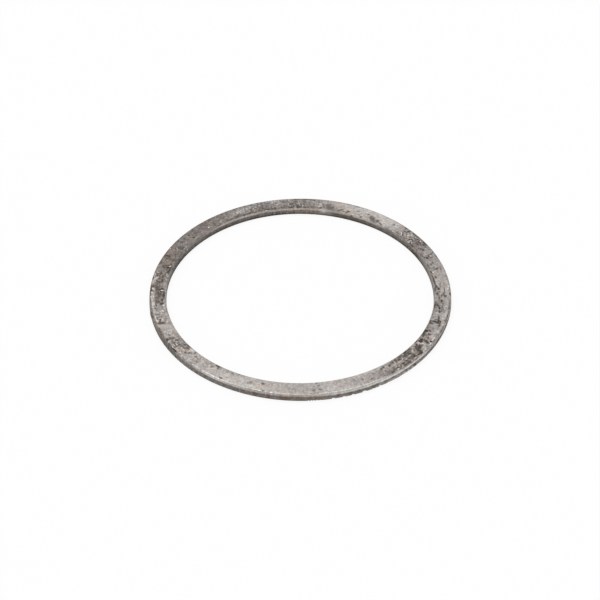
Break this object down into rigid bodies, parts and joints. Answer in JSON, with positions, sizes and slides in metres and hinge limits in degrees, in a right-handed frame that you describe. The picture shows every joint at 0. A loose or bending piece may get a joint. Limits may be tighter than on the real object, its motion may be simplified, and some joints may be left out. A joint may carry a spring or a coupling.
{
  "type": "shim washer",
  "caption": "Thin flat round steel ring with a wide bore, laid against a bearing or shoulder to take up end play.",
  "frame": {"origin": "on the bore's axis, in the plane of the lower face that the ring lies on", "axes": "+Z along the bore's axis, from the face with plain edges up to the face with the bevelled bore"},
  "size_m": [0.0903, 0.0902, 0.0022],
  "materials": {
    "stained_steel": "ground steel, dulled and stained, with dark spots on the face and brown-grey edges"
  },
  "bodies": {
    "root": {"shim_washer": "stained_steel"}
  },
  "joints": []
}
